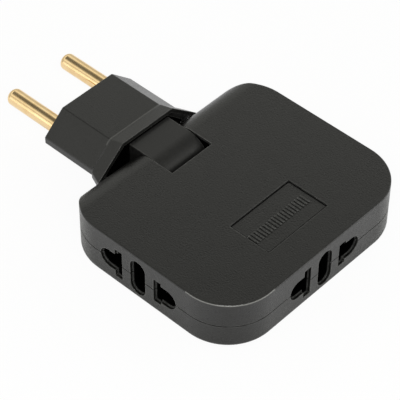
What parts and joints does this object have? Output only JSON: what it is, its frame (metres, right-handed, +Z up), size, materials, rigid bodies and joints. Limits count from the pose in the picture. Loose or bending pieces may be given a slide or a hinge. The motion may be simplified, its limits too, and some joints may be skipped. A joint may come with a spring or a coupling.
{
  "type": "folding multi socket adapter",
  "caption": "Slim flat mains adapter: a two-pin plug hinged to a rounded square casing with universal sockets in its sides.",
  "frame": {"origin": "centre of the casing's flat underside", "axes": "+Z up through the casing's thickness, -X the way the plug's pins point when it is straight, +Y along the hinge axis"},
  "size_m": [0.0985, 0.0658, 0.017],
  "materials": {
    "casing": "charcoal black moulded plastic with a fine matt grain",
    "pins": "turned solid brass",
    "strips": "stamped brass strip",
    "screws": "zinc plated steel",
    "carriers": "dark grey moulded plastic"
  },
  "bodies": {
    "casing": {"lower_shell": "casing", "upper_shell": "casing", "shaft_spring_left": "strips", "shaft_spring_right": "strips", "socket_clip_front_left": "strips", "socket_clip_front_right": "strips", "socket_clip_end_left": "strips", "socket_clip_end_right": "strips", "socket_clip_back_left": "strips", "socket_clip_back_right": "strips", "bus_bar_lower": "strips", "bus_bar_upper": "strips", "bus_rivets": "strips", "case_screws": "screws", "clip_carrier_front": "carriers", "clip_carrier_end": "carriers", "clip_carrier_back": "carriers"},
    "plug": {"plug_head": "casing", "neck_lower": "casing", "neck_upper": "casing", "pin_left": "pins", "pin_right": "pins", "contact_strip_left": "strips", "contact_strip_right": "strips", "hinge_shaft_left": "pins", "hinge_shaft_right": "pins", "neck_screw": "screws"}
  },
  "joints": [
    {"name": "plug_hinge", "type": "hinge", "parent": "casing", "child": "plug", "pos_m": [-0.0221, 0, 0.0073], "axis": [0, 1, 0], "range_deg": [-90, 90]}
  ]
}
